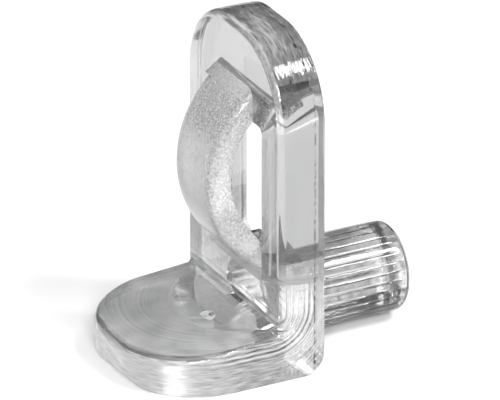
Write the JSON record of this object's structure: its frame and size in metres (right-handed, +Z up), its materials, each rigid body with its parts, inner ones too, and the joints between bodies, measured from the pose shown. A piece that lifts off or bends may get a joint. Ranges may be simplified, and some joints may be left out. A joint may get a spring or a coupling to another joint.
{
  "type": "shelf support pin",
  "caption": "Clear plastic shelf support: an arched plate with a springy bow across a slot, a round-nosed ledge for the shelf and a ribbed peg for a hole in the cabinet side.",
  "frame": {"origin": "where the peg's axis meets the back face of the plate", "axes": "+Y along the peg towards its free end, +Z up towards the arched top, +X across the plate"},
  "size_m": [0.0108, 0.0172, 0.0191],
  "materials": {
    "clear_plastic": "clear, glossy, with a frosted bow"
  },
  "bodies": {
    "root": {"shelf_pin": "clear_plastic"}
  },
  "joints": []
}
